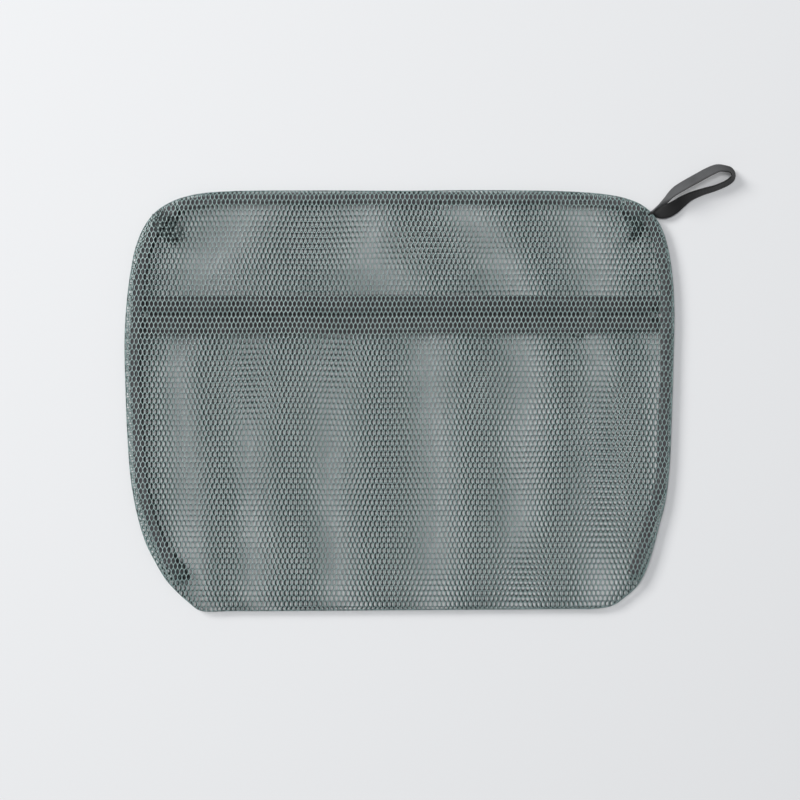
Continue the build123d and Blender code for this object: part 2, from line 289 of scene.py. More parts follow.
def net(name, mapping, height, keep, scale=1.0, clamp=True):
    """A knitted hexagonal net: each thread has a lens-shaped section."""
    na, nb = 74, 46
    i, j = np.meshgrid(np.arange(-na, na + 1), np.arange(-nb, nb + 1), indexing="ij")
    i, j = i.ravel(), j.ravel()
    ca, cb = i + 0.5 * (j & 1), j.astype(float)
    cx, cy = mapping(ca, cb)
    use = (depth(cx, cy) > -2.6) & keep(cx, cy)
    ca, cb, ii, jj = ca[use], cb[use], i[use], j[use]
    n = len(ca)
    # shared ring
    ra = (ca[:, None] + HEX[None, :, 0]).ravel()
    rb = (cb[:, None] + HEX[None, :, 1]).ravel()
    key = np.round(ra * 2).astype(np.int64) * 100000 + np.round(rb * 4).astype(np.int64)
    uniq, first, back = np.unique(key, return_index=True, return_inverse=True)
    back = back.ravel()
    rx, ry = mapping(ra[first], rb[first])
    jit = np.random.RandomState(7).uniform(-1, 1, (400000, 2))
    pick = (uniq * 7919 % 399989).astype(int)
    rx = rx + 0.07 * jit[pick, 0]
    ry = ry + 0.07 * jit[pick, 1]
    # holes
    ha = (ca[:, None] + HOLE[None, :, 0] / PC).ravel()
    hb = (cb[:, None] + HOLE[None, :, 1] / PR).ravel()
    hx, hy = mapping(ha, hb)
    hp = ((ii * 977 + jj * 131) % 399989)
    hx = hx + 0.05 * np.repeat(jit[hp, 0], 8)
    hy = hy + 0.05 * np.repeat(jit[hp, 1], 8)
    x, y = np.concatenate([rx, hx]), np.concatenate([ry, hy])
    if clamp:
        d = depth(x, y)
        low = np.where(d < 2.5)[0]
        dd, near = nearest(np.stack([x[low], y[low]], 1))
        out = dd < 0
        x[low[out]] = near[out, 0]
        y[low[out]] = near[out, 1]
    outside = np.zeros(len(x), bool)
    if clamp:
        outside[low[out]] = True
    z = height(x, y)
    nr = len(rx)
    crest = np.where(outside[:nr], 0.22, CREST * scale)
    top = np.stack([x[:nr], y[:nr], z[:nr] + crest], 1)
    bot = np.stack([x[:nr], y[:nr], z[:nr] - crest], 1)
    hole = np.stack([x[nr:], y[nr:], z[nr:]], 1)
    verts = np.vstack([top, bot, hole])
    ring = back.reshape(n, 6)
    # cells wholly outside go
    alive = ~outside[:nr][ring].all(1)
    ring = ring[alive]
    hid = (np.arange(n)[alive][:, None] * 8 + np.arange(8)[None]) + 2 * nr
    tri = []
    for t in RING:
        cols = [ring[:, int(s[1])] if s[0] == "r" else hid[:, int(s[1])] for s in t]
        tri.append(np.stack([cols[0], cols[2], cols[1]], 1))
        cols = [ring[:, int(s[1])] + nr if s[0] == "r" else hid[:, int(s[1])] for s in t]
        tri.append(np.stack([cols[0], cols[1], cols[2]], 1))
    tri = np.vstack(tri)
    # close the edge where a ring side has only one cell
    e = np.vstack([ring[:, [k, (k + 1) % 6]] for k in range(6)])
    code = np.minimum(e[:, 0], e[:, 1]) * 1000000 + np.maximum(e[:, 0], e[:, 1])
    u, idx, cnt = np.unique(code, return_index=True, return_counts=True)
    lone = e[idx[cnt == 1]]
    wall = np.vstack([np.stack([lone[:, 0], lone[:, 1], lone[:, 1] + nr], 1),
                      np.stack([lone[:, 0], lone[:, 1] + nr, lone[:, 0] + nr], 1)])
    tri = np.vstack([tri, wall])
    p = verts[tri]
    area = np.linalg.norm(np.cross(p[:, 1] - p[:, 0], p[:, 2] - p[:, 0]), axis=1)
    tri = tri[area > 2e-3]
    used, tri = np.unique(tri, return_inverse=True)
    tri = tri.reshape(-1, 3)
    verts = verts[used]
    o = mesh(name, verts, tri, uv=True)
    # painted light: the threads' crests are marked 1 and the holes' edges 0, for a painted highlight on each crest and
    # painted shade on the sides that fall away
    painted_light = np.where(used < 2 * nr, 1.0, 0.0)
    layer = o.data.color_attributes.new("painted_light", "FLOAT_COLOR", "POINT")
    col = np.stack([painted_light, painted_light, painted_light, np.ones_like(painted_light)], 1)
    layer.data.foreach_set("color", col.astype(np.float32).ravel())
    return o


def mesh(name, verts, faces, uv=False, smooth_on=True):
    me = bpy.data.meshes.new(name)
    v = np.asarray(verts, float) * MM
    f = np.asarray(faces) if not isinstance(faces, list) else faces
    if isinstance(f, np.ndarray):
        m, k = f.shape
        me.vertices.add(len(v))
        me.vertices.foreach_set("co", v.ravel())
        me.loops.add(m * k)
        me.loops.foreach_set("vertex_index", f.ravel().astype(np.int32))
        me.polygons.add(m)
        me.polygons.foreach_set("loop_start", np.arange(0, m * k, k, dtype=np.int32))
        me.update(calc_edges=True)
    else:
        me.from_pydata([tuple(a) for a in v], [], f)
    me.validate()
    me.update()
    if smooth_on:
        me.polygons.foreach_set("use_smooth", np.ones(len(me.polygons), bool))
    if uv:
        layer = me.uv_layers.new(name="OFBake")
        idx = np.empty(len(me.loops), np.int32)
        me.loops.foreach_get("vertex_index", idx)
        co = np.empty(len(me.vertices) * 3)
        me.vertices.foreach_get("co", co)
        co = co.reshape(-1, 3)[:, :2]
        lo, hi = co.min(0), co.max(0)
        t = (co - lo) / (hi - lo) * 0.996 + 0.002
        layer.uv.foreach_set("vector", t[idx].astype(np.float32).ravel())
    o = bpy.data.objects.new(name, me)
    bpy.context.collection.objects.link(o)
    return o


# ------------------------------------------------------------------ materials
def material(name, color, rough=0.7, sheen=0.0, metallic=0.0, spec=0.5):
    m = bpy.data.materials.new(name)
    m.use_nodes = True
    b = m.node_tree.nodes["Principled BSDF"]
    b.inputs["Base Color"].default_value = (*color, 1)
    b.inputs["Roughness"].default_value = rough
    b.inputs["Metallic"].default_value = metallic
    b.inputs["Specular IOR Level"].default_value = spec
    if sheen:
        b.inputs["Sheen Weight"].default_value = sheen
        b.inputs["Sheen Roughness"].default_value = 0.4
    return m


def vary(m, a, b, scale, detail=3.0, fine=None):
    """Base colour between two colours by noise in object coordinates."""
    nt = m.node_tree
    bsdf = nt.nodes["Principled BSDF"]
    tc = nt.nodes.new("ShaderNodeTexCoord")
    no = nt.nodes.new("ShaderNodeTexNoise")
    no.inputs["Scale"].default_value = scale
    no.inputs["Detail"].default_value = detail
    nt.links.new(tc.outputs["Object"], no.inputs["Vector"])
    ramp = nt.nodes.new("ShaderNodeValToRGB")
    ramp.color_ramp.elements[0].position = 0.32
    ramp.color_ramp.elements[1].position = 0.68
    ramp.color_ramp.elements[0].color = (*a, 1)
    ramp.color_ramp.elements[1].color = (*b, 1)
    nt.links.new(no.outputs["Fac"], ramp.inputs["Fac"])
    nt.links.new(ramp.outputs["Color"], bsdf.inputs["Base Color"])
    return nt, bsdf, tc


def painted_shade_and_highlight(m, low, high, start=0.42, end=1.0):
    """Painted shade and painted highlight: the base colour is scaled darker on the sides and lighter on the crests of
    thread and tape, from the mesh's own attribute.
    """
    nt = m.node_tree
    bsdf = nt.nodes["Principled BSDF"]
    src = bsdf.inputs["Base Color"].links[0].from_socket
    at = nt.nodes.new("ShaderNodeAttribute")
    at.attribute_type = "GEOMETRY"
    at.attribute_name = "painted_light"
    mr = nt.nodes.new("ShaderNodeMapRange")
    mr.interpolation_type = "SMOOTHSTEP"
    mr.inputs["From Min"].default_value = start
    mr.inputs["From Max"].default_value = end
    mr.inputs["To Min"].default_value = low
    mr.inputs["To Max"].default_value = high
    nt.links.new(at.outputs["Fac"], mr.inputs["Value"])
    mul = nt.nodes.new("ShaderNodeVectorMath")
    mul.operation = "SCALE"
    nt.links.new(src, mul.inputs[0])
    nt.links.new(mr.outputs["Result"], mul.inputs["Scale"])
    nt.links.new(mul.outputs[0], bsdf.inputs["Base Color"])


def bump_noise(m, scale, strength, distance=0.0002, vector_scale=(1, 1, 1)):
    nt = m.node_tree
    bsdf = nt.nodes["Principled BSDF"]
    tc = nt.nodes.new("ShaderNodeTexCoord")
    mp = nt.nodes.new("ShaderNodeMapping")
    mp.inputs["Scale"].default_value = vector_scale
    no = nt.nodes.new("ShaderNodeTexNoise")
    no.inputs["Scale"].default_value = scale
    no.inputs["Detail"].default_value = 2.0
    bu = nt.nodes.new("ShaderNodeBump")
    bu.inputs["Strength"].default_value = strength
    bu.inputs["Distance"].default_value = distance
    nt.links.new(tc.outputs["Object"], mp.inputs["Vector"])
    nt.links.new(mp.outputs["Vector"], no.inputs["Vector"])
    nt.links.new(no.outputs["Fac"], bu.inputs["Height"])
    nt.links.new(bu.outputs["Normal"], bsdf.inputs["Normal"])


def bump_wave(m, pairs, strength, distance=0.0002):
    """Woven bump: waves along given directions, (direction, period in mm)."""
    nt = m.node_tree
    bsdf = nt.nodes["Principled BSDF"]
    tc = nt.nodes.new("ShaderNodeTexCoord")
    last = None
    for (dx, dy, dz), period in pairs:
        dot = nt.nodes.new("ShaderNodeVectorMath")
        dot.operation = "DOT_PRODUCT"
        k = 2 * math.pi / (period * MM)
        n = math.sqrt(dx * dx + dy * dy + dz * dz)
        dot.inputs[1].default_value = (dx / n * k, dy / n * k, dz / n * k)
        nt.links.new(tc.outputs["Object"], dot.inputs[0])
        si = nt.nodes.new("ShaderNodeMath")
        si.operation = "SINE"
        nt.links.new(dot.outputs["Value"], si.inputs[0])
        if last is None:
            last = si.outputs[0]
        else:
            mul = nt.nodes.new("ShaderNodeMath")
            mul.operation = "MAXIMUM"
            nt.links.new(last, mul.inputs[0])
            nt.links.new(si.outputs[0], mul.inputs[1])
            last = mul.outputs[0]
    bu = nt.nodes.new("ShaderNodeBump")
    bu.inputs["Strength"].default_value = strength
    bu.inputs["Distance"].default_value = distance
    nt.links.new(last, bu.inputs["Height"])
    nt.links.new(bu.outputs["Normal"], bsdf.inputs["Normal"])


NET = material("net", (0.205, 0.285, 0.278), rough=0.3, sheen=0.1, spec=0.9)
vary(NET, (0.184, 0.264, 0.257), (0.228, 0.309, 0.302), 26.0, 4.0)
bump_noise(NET, 2600, 0.5, 0.00012)
EDGE_NET = material("net_edge", (0.16, 0.20, 0.197), rough=0.6, sheen=0.1)
vary(EDGE_NET, (0.035, 0.056, 0.055), (0.25, 0.35, 0.342), 520.0, 2.0)
bump_noise(EDGE_NET, 900, 0.9, 0.0004)
# painted highlight on the front net's crests and painted shade on its sides
painted_shade_and_highlight(NET, 0.04, 2.6)
# painted shade: the rear net is the same net, given a darker copy of the front net's colour for the shade it lies in
NET_PAINTED_SHADE = material("net_rear", (0.15, 0.185, 0.182), rough=0.55, sheen=0.1)
vary(NET_PAINTED_SHADE, (0.085, 0.150, 0.146), (0.110, 0.182, 0.176), 26.0, 4.0)
bump_noise(NET_PAINTED_SHADE, 2600, 0.5, 0.00012)
painted_shade_and_highlight(NET_PAINTED_SHADE, 0.04, 0.72)
TAPE = material("zipper_tape", (0.055, 0.050, 0.055), rough=0.8, sheen=0.25)
vary(TAPE, (0.046, 0.042, 0.046), (0.070, 0.064, 0.069), 60.0)
bump_wave(TAPE, [((1, 0.9, 0), 0.9), ((1, -0.9, 0), 0.9)], 0.6, 0.00025)
BIND = material("binding_tape", (0.135, 0.13, 0.138), rough=0.85, sheen=0.3)
vary(BIND, (0.066, 0.064, 0.069), (0.108, 0.102, 0.108), 70.0)
bump_wave(BIND, [((1, 0, 0), 0.8), ((0, 1, 0), 0.8)], 0.5, 0.0002)
THREAD = material("thread", (0.16, 0.18, 0.18), rough=0.6, sheen=0.2)
vary(THREAD, (0.13, 0.15, 0.15), (0.2, 0.22, 0.22), 400.0)
bump_noise(THREAD, 3000, 0.4, 0.0001)
COIL = material("nylon_coil", (0.035, 0.04, 0.043), rough=0.38)
vary(COIL, (0.03, 0.034, 0.037), (0.045, 0.05, 0.053), 200.0)
bump_noise(COIL, 2500, 0.15, 0.00005)
PAINT = material("slider_paint", (0.02, 0.021, 0.023), rough=0.42)
vary(PAINT, (0.017, 0.018, 0.02), (0.028, 0.029, 0.031), 120.0)
bump_noise(PAINT, 900, 0.12, 0.00005)
# painted shade: near-black tape for the turned-back zipper ends and the loop's bar stitches
DARK_PAINTED_SHADE = material("dark_tape_painted_shade", (0.014, 0.014, 0.015), rough=0.8, sheen=0.1)
vary(DARK_PAINTED_SHADE, (0.011, 0.011, 0.012), (0.020, 0.020, 0.021), 80.0)
bump_wave(DARK_PAINTED_SHADE, [((1, 0.9, 0), 0.9), ((1, -0.9, 0), 0.9)], 0.5, 0.0002)
# painted shade: the crushed binding ends get a much darker copy of the binding's colour
GATHER_PAINTED_SHADE = material("gathered_tape_painted_shade", (0.040, 0.040, 0.042), rough=0.85, sheen=0.2)
vary(GATHER_PAINTED_SHADE, (0.016, 0.016, 0.017), (0.040, 0.040, 0.042), 160.0)
bump_wave(GATHER_PAINTED_SHADE, [((1, 0, 0), 0.8), ((0, 1, 0), 0.8)], 0.5, 0.0002)
LOOP = material("loop_tape", (0.085, 0.087, 0.09), rough=0.7, sheen=0.08)
vary(LOOP, (0.060, 0.061, 0.063), (0.088, 0.090, 0.093), 90.0)
bump_noise(LOOP, 2200, 0.35, 0.00012)
# painted light on the loop tape: one strand's face painted lit, the rest painted in shade
painted_shade_and_highlight(LOOP, 0.12, 1.0, 0.0, 1.0)


def paint(o, m):
    o.data.materials.clear()
    o.data.materials.append(m)
    return o


# ------------------------------------------------------------------ the nets
SPLIT = 62.5
front_lower = net("net_front_lower", front_map, front_z, lambda x, y: y < SPLIT)
front_upper = net("net_front_upper", front_map, front_z, lambda x, y: y >= SPLIT)
rear_lower = net("net_rear_lower", lambda a, b: rear_map(a, b, False), rear_z,
                 lambda x, y: y < ZIP_Y - 8.0)
rear_upper = net("net_rear_upper", lambda a, b: rear_map(a, b, True), rear_z,
                 lambda x, y: y > ZIP_Y + 8.0)
allowance = net("net_seam_allowance", lambda a, b: front_map(a + 0.5, b + 0.4),
                lambda x, y: 0 * x + SEAM_Z,
                lambda x, y: (depth(x, y) < 8.0) & (depth(x, y) > 0.4) & (y > -134), clamp=True)
# painted shade: the rear nets take the darker copy of the net colour
for o in (front_lower, front_upper, rear_lower, rear_upper, allowance):
    paint(o, NET_PAINTED_SHADE if o in (rear_lower, rear_upper) else NET)
    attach(o, "bag")
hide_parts("front_net")
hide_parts("front_net")
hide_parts("rear_lower_net")
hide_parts("front_net")
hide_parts("rear_upper_net")


def edge_roll():
    """The net's rolled edge where it turns over the seam and the bottom fold."""
    n = EDGE_N
    k = 7
    r = np.random.RandomState(3)
    fat = 0.42 + 0.10 * np.sin(np.arange(n) * 2 * math.pi / 3.2) + 0.05 * r.uniform(-1, 1, n)
    cen = EDGE + EDGE_IN * 0.45
    z = front_z(cen[:, 0], cen[:, 1]) - 0.1 + 0.06 * r.uniform(-1, 1, n)
    v = []
    for i in range(n):
        for a in np.arange(k) * 2 * math.pi / k:
            q = cen[i] + EDGE_IN[i] * (math.cos(a) * fat[i])
            v.append((q[0], q[1], z[i] + math.sin(a) * fat[i] * 1.15))
    f = []
    for i in range(n):
        j = (i + 1) % n
        for b in range(k):
            c = (b + 1) % k
            f.append((i * k + b, j * k + b, j * k + c, i * k + c))
    return mesh("net_edge_roll", v, f)


roll = paint(edge_roll(), EDGE_NET)
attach(roll, "bag")
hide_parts("front_net")


def turned(cx, cy, angle, shrink):
    """The lattice turned and drawn together around a point."""
    ca, sa = math.cos(math.radians(angle)), math.sin(math.radians(angle))

    def place(a, b):
        x, y = a * PC * shrink, b * PR * shrink
        return cx + x * ca - y * sa, cy + x * sa + y * ca
    return place


def oval(cx, cy, rx, ry, angle):
    ca, sa = math.cos(math.radians(angle)), math.sin(math.radians(angle))

    def inside(x, y):
        u, w = (x - cx) * ca + (y - cy) * sa, -(x - cx) * sa + (y - cy) * ca
        return (u / rx) ** 2 + (w / ry) ** 2 < 1 + 0.25 * np.sin(3 * np.arctan2(w, u) + cx)
    return inside


def crumple(name, path, widths, z0, seed):
    """A short end of binding tape, turned inwards and crushed between the nets; painted much darker than the binding,
    as painted shade in the gathered corner.
    """
    pts = even(catmull([(*q, w) for q, w in zip(path, widths)], 10, closed=False), 1.0)
    r = np.random.RandomState(seed)
    ph = r.uniform(0, 6.28, 4)
    rows = []
    for i, (x, y, w) in enumerate(pts):
        a, b = pts[max(i - 1, 0)], pts[min(i + 1, len(pts) - 1)]
        t = np.array([b[0] - a[0], b[1] - a[1]])
        t /= max(np.linalg.norm(t), 1e-9)
        nrm = np.array([-t[1], t[0]])
        top, bot = [], []
        for u in np.linspace(-1, 1, 11):
            zz = z0 + 0.42 * math.sin(4.2 * u + 0.16 * i + ph[0]) + 0.22 * math.sin(7.3 * u - 0.31 * i + ph[1])
            q = np.array([x, y]) + nrm * (u * w / 2 + 0.5 * math.sin(0.5 * i + ph[2]))
            top.append((q[0], q[1], zz + 0.22))
            bot.append((q[0], q[1], zz - 0.22))
        rows.append(top + bot[::-1])
    v, f = tube(rows)
    o = mesh(name, v, f)
    bm = bmesh.new()
    bm.from_mesh(o.data)
    bmesh.ops.recalc_face_normals(bm, faces=bm.faces)
    bm.to_mesh(o.data)
    bm.free()
    return paint(o, GATHER_PAINTED_SHADE)


# ------------------------------------------------------------------ sweeps along the outline
def edge_run(x0, y0, x1, y1):
    """Indices of the outline clockwise from near one point to near another."""
    i = ((EDGE - (x0, y0)) ** 2).sum(1).argmin()
    j = ((EDGE - (x1, y1)) ** 2).sum(1).argmin()
    return np.arange(i, j if j > i else j + EDGE_N) % EDGE_N


def tube(verts_rows, closed_section=True, caps=True):
    """Faces over rows of section points."""
    n, k = len(verts_rows), len(verts_rows[0])
    v = np.vstack(verts_rows)
    f = []
    for a in range(n - 1):
        for b in range(k if closed_section else k - 1):
            c = (b + 1) % k
            f.append((a * k + b, a * k + c, (a + 1) * k + c, (a + 1) * k + b))
    if caps:
        f.append(tuple(range(k - 1, -1, -1)))
        f.append(tuple((n - 1) * k + b for b in range(k)))
    return v, f


# inset from the outline and height over the seam line
BIND_SECTION = [(1.7, 0.12), (3.2, 0.42), (5.2, 0.86), (7.2, 1.0), (8.6, 0.92), (9.4, 0.55), (9.7, 0.0),
                (9.4, -0.55), (8.6, -0.92), (7.2, -1.0), (5.0, -0.95), (3.2, -0.7), (1.7, -0.30),
                (1.7, -0.22), (3.4, -0.45), (8.3, -0.52), (8.9, 0.0), (8.3, 0.52), (5.2, 0.46), (3.2, 0.12),
                (1.7, 0.02)]


def extra_inset(p):
    """Where a binding stands further inside, near the lower corners."""
    x, y = p
    low = smooth((-52 - y) / 60)
    return 3.6 * low * (1 if x < 0 else 0.6) + 1.7 * smooth((-x - 172) / 12) * (1 - low) + 0.35 * math.sin(x * 0.11 + y * 0.083)


def binding(name, run, tails=()):
    rows = []
    for n, i in enumerate(run):
        p, inward = EDGE[i], EDGE_IN[i]
        off = extra_inset(p)
        wave = 0.08 * math.sin(n * 0.21) + 0.06 * math.sin(n * 0.093 + 1)
        rows.append([(*(p + inward * (a + off)), SEAM_Z + z + wave) for a, z in BIND_SECTION])
    v, f = tube(rows)
    return paint(mesh(name, v, f), BIND)


runs = {
    "top": edge_run(-163, 146, 163, 147.4),
    "right": edge_run(164.5, 147.2, 181, -134),
    "left": edge_run(-168, -134, -164.5, 145.3),
}
bind = {k: binding(f"{k}_binding_tape", r) for k, r in runs.items()}
for k, o in bind.items():
    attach(o, "bag")
    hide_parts(f"{k}_binding")


for word, node, cx, cy, rx, ry, ang, turn in (
    ("top_left", "left_binding", -169.0, 126.0, 14.0, 8.0, -40, 28),
    ("top_right", "right_binding", 171.5, 129.0, 9.5, 6.0, 60, -24),
    ("lower_left", "left_binding", -160.5, -124.5, 9.5, 4.2, -62, 20),
):
    over = {"top_left": 0.25, "top_right": 0.1, "lower_left": -0.4}[word]
    g = net(f"net_gather_{word}", turned(cx, cy, turn, 0.66 if word == "top_right" else 0.74), lambda x, y, o=over: front_z(x, y) + o,
            oval(cx, cy, rx, ry, ang), clamp=False)
    # painted shade: the gathered net takes the darker rear-net colour
    paint(g, NET_PAINTED_SHADE)
    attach(g, "bag")
    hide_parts("front_net")
for name, node, path, widths, z0, seed in (
    ("left_binding_top_end", "left_binding", [(-178, 131), (-174, 127), (-169, 121.5), (-162, 115.5)], (4, 9, 10, 6), 5.5, 1),
    ("top_binding_left_end", "top_binding", [(-160, 138), (-167, 134), (-174, 127.5), (-180, 118)], (7, 10, 9, 5), 4.6, 2),
    ("top_binding_right_end", "top_binding", [(162, 138.5), (167, 136), (171.5, 131), (174.5, 123)], (7, 9, 8, 4), 5.5, 3),
    ("right_binding_top_end", "right_binding", [(181, 134), (177, 128), (172, 122), (168, 117)], (6, 8, 7, 4), 4.6, 4),
    ("left_binding_low_end", "left_binding", [(-168, -112), (-164.5, -118.5), (-160, -124), (-154.5, -130)], (7, 10, 10, 5), 5.4, 5),
    ("right_binding_low_end", "right_binding", [(175, -120), (172, -126), (168, -131)], (7, 6, 3), 5.0, 6),
):
    g = crumple(name, path, widths, z0, seed)
    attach(g, "bag")
    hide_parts(node)


def stitch(at, along, up, length, width=0.5, high=0.42):
    """One stitch: a rounded grain of thread."""
    side = np.cross(up, along)
    rows = []
    for t, w in ((-0.5, 0.25), (-0.32, 0.85), (0, 1.0), (0.32, 0.85), (0.5, 0.25)):
        row = []
        for k in range(6):
            a = k * math.pi / 3
            row.append(at + along * (t * length) + side * (math.cos(a) * width / 2 * w)
                       + up * (math.sin(a) * high / 2 * w + 0.04))
        rows.append(row)
    return tube(rows)


def stitches(name, line, ups, pitch=3.0, length=2.5, width=0.5):
    s = np.concatenate([[0], np.cumsum(np.linalg.norm(np.diff(line, axis=0), axis=1))])
    vs, fs, n = [], [], 0
    count = int(s[-1] // pitch)
    for k in range(count):
        t = (k + 0.5) * s[-1] / count
        p = np.array([np.interp(t, s, line[:, c]) for c in range(3)])
        q = np.array([np.interp(min(t + 0.6, s[-1]), s, line[:, c]) for c in range(3)])
        al = q - p
        al /= max(np.linalg.norm(al), 1e-9)
        v, f = stitch(p, al, np.array(ups, float), length, width)
        vs.append(v)
        fs += [tuple(i + n for i in g) for g in f]
        n += len(v)
    return paint(mesh(name, np.vstack(vs), fs), THREAD)


for k, r in runs.items():
    up_line, low_line = [], []
    for n, i in enumerate(r):
        p = EDGE[i] + EDGE_IN[i] * (7.4 + extra_inset(EDGE[i]))
        wave = 0.08 * math.sin(n * 0.21) + 0.06 * math.sin(n * 0.093 + 1)
        up_line.append((*p, SEAM_Z + 1.02 + wave))
        low_line.append((*p, SEAM_Z - 1.02 + wave))
    o = stitches(f"{k}_seam_stitches", np.array(up_line), (0, 0, 1))
    under = stitches(f"{k}_seam_stitches_under", np.array(low_line), (0, 0, -1))
    for q in (o, under):
        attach(q, "bag")
        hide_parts(f"{k}_seam_stitching")

# ------------------------------------------------------------------ zipper tapes
def bow(x):
    """Sideways bow of the tapes' outer edges."""
    return 1.2 * np.cos(x / 190 * 1.3) - 0.8


def zip_tape(side):
    rows = []
    for x in np.arange(-189, 189.01, 2.0):
        outer = 14.3 + side * bow(x)
        if side < 0:
            outer -= 2.6 * float(smooth(np.array((x - 105) / 70)))
        sag = 0.3 * math.sin(x * 0.045 + side)
        ys = (0.6, 3.4, 3.7, 6.0, 9.0, 12.0, outer - 0.5, outer)
        top = [(x, ZIP_Y + side * t, TAPE_Z + 0.52 + (0.16 if t < 3.5 else 0)
                + max(sag, 0) * float(smooth(np.array((t - 5) / 9)))) for t in ys]
        bot = [(x, ZIP_Y + side * t, TAPE_Z + 0.02
                + max(sag, 0) * float(smooth(np.array((t - 5) / 9)))) for t in ys[::-1]]
        row = top + bot
        rows.append(row if side > 0 else row)
    v, f = tube(rows)
    o = mesh(f"zipper_tape_{'upper' if side > 0 else 'lower'}_half", v, f)
    bm = bmesh.new()
    bm.from_mesh(o.data)
    bmesh.ops.recalc_face_normals(bm, faces=bm.faces)
    bm.to_mesh(o.data)
    bm.free()
    return paint(o, TAPE)


def coil(side):
    """Nylon coil: each turn is a flattened loop that hooks past the middle."""
    pitch, n = 1.42, 262
    line = []
    steps = 10
    for t in range(n * steps):
        a = 2 * math.pi * t / steps
        x = -186 + (t / steps) * pitch + (0 if side > 0 else pitch / 2)
        c, s = math.cos(a), math.sin(a)
        # a turn is a flattened loop from past the middle out to the tape's edge cord
        y = 1.32 - 1.75 * c
        z = TAPE_Z - 0.88 + 0.58 * s
        line.append((x, ZIP_Y + side * y, z))
    line = np.array(line)
    tan = np.gradient(line, axis=0)
    tan /= np.linalg.norm(tan, axis=1)[:, None]
    ref = np.array([1.0, 0, 0])
    u = np.cross(tan, ref)
    u /= np.linalg.norm(u, axis=1)[:, None]
    w = np.cross(tan, u)
    k = 5
    ring = np.arange(k) * 2 * math.pi / k
    v = (line[:, None] + 0.27 * (np.cos(ring)[None, :, None] * u[:, None]
                                + np.sin(ring)[None, :, None] * w[:, None])).reshape(-1, 3)
    m = len(line)
    a = np.arange(m - 1)[:, None] * k
    b = np.arange(k)[None]
    c = (b + 1) % k
    f = np.stack([a + b, a + c, a + k + c, a + k + b], -1).reshape(-1, 4)
    o = mesh(f"zipper_coil_{'upper' if side > 0 else 'lower'}_half", v, f)
    return paint(o, COIL)


for side, word in ((1, "upper"), (-1, "lower")):
    t = zip_tape(side)
    c = coil(side)
    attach(t, "bag")
    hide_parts(f"zipper_tape_{word}")
    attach(c, "bag")
    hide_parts(f"zipper_coil_{word}")
    line = np.array([(x, ZIP_Y + side * 10.8, TAPE_Z + 0.6) for x in np.arange(-186, 186.1, 4)])
    low = np.array([(x, ZIP_Y + side * 10.8, TAPE_Z - 0.86) for x in np.arange(-186, 186.1, 4)])
    s1 = stitches(f"zipper_stitches_{word}", line, (0, 0, 1))
    s2 = stitches(f"zipper_stitches_{word}_under", low, (0, 0, -1))
    # two fine rows that hold the coil to the tape
    s3 = stitches(f"coil_stitches_{word}",
                  np.array([(x, ZIP_Y + side * 2.2, TAPE_Z + 0.70) for x in np.arange(-186, 186.1, 4)]),
                  (0, 0, 1), 1.42, 1.1, 0.4)
    for s in (s1, s2, s3):
        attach(s, "bag")
        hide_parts(f"zipper_stitching_{word}")


def hem(name, side):
    """The rear net's turned edge beside the coil."""
    rows = []
    for x in np.arange(-190, 190.01, 2.0):
        y0 = 7.0 + 0.12 * math.sin(x * 0.31)
        sec = [(y0 - 0.15, -0.05), (y0 - 0.35, -0.45), (y0, -0.82), (y0 + 1.0, -0.8),
               (y0 + 1.5, -0.45), (y0 + 1.0, -0.08)]
        rows.append([(x, ZIP_Y + side * a, TAPE_Z + b) for a, b in sec])
    v, f = tube(rows)
    o = mesh(name, v, f)
    bm = bmesh.new()
    bm.from_mesh(o.data)
    bmesh.ops.recalc_face_normals(bm, faces=bm.faces)
    bm.to_mesh(o.data)
    bm.free()
    paint(o, EDGE_NET)
    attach(o, "bag")
    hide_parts("rear_lower_net" if side < 0 else "rear_upper_net")
    return o


hem_lower = hem("net_hem_lower", -1)
hem_upper = hem("net_hem_upper", 1)

# the tapes' ends are turned back on themselves, and painted near-black as painted shade where they tuck in beside the
# binding
for word, side, x0, x1, y0, y1 in (
    ("upper_left", 1, -190.0, -183.6, 0.8, 12.4), ("lower_left", -1, -191.0, -183.8, 0.8, 12.6),
    ("upper_right", 1, 183.0, 187.6, 0.8, 7.4), ("lower_right", -1, 183.0, 187.6, 0.8, 6.0),
):
    rows = []
    for x in np.linspace(x0, x1, 9):
        u = (x - x0) / (x1 - x0)
        lift = 0.12 * math.sin(math.pi * u) + 0.05 * math.sin(9 * u)
        ys = (y0, y0 + 0.3, (y0 + y1) / 2, y1 - 0.4, y1)
        hs = (0.45, 0.62, 0.66, 0.62, 0.42)
        rows.append([(x, ZIP_Y + side * (a + 0.2 * math.sin(5 * u)), TAPE_Z + 0.25 + h + lift) for a, h in zip(ys, hs)]
                    + [(x, ZIP_Y + side * (a + 0.2 * math.sin(5 * u)), TAPE_Z + 0.3) for a in ys[::-1]])
    v, f = tube(rows)
    o = mesh(f"zipper_tape_end_{word}", v, f)
    bm = bmesh.new()
    bm.from_mesh(o.data)
    bmesh.ops.recalc_face_normals(bm, faces=bm.faces)
    bm.to_mesh(o.data)
    bm.free()
    paint(o, DARK_PAINTED_SHADE)
    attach(o, "bag")
    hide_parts("zipper_tape_upper" if side > 0 else "zipper_tape_lower")

# bartacks across the two ends of the chain
vs, fs, n = [], [], 0
for ex in (-184.5, 184.5):
    for k in range(9):
        x = ex - 1.4 + k * 0.35
        tilt = 0.12 if k % 2 else -0.12
        al = np.array([tilt, 1.0, 0.0])
        al /= np.linalg.norm(al)
        v, f = stitch(np.array([x, ZIP_Y, TAPE_Z + 0.78]), al, np.array([0, 0, 1.0]), 12.0, 0.4, 0.4)
        vs.append(v)
        fs += [tuple(i + n for i in g) for g in f]
        n += len(v)
o = paint(mesh("zipper_end_bars", np.vstack(vs), fs), THREAD)
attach(o, "bag")
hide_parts("zipper_end_bartacks")

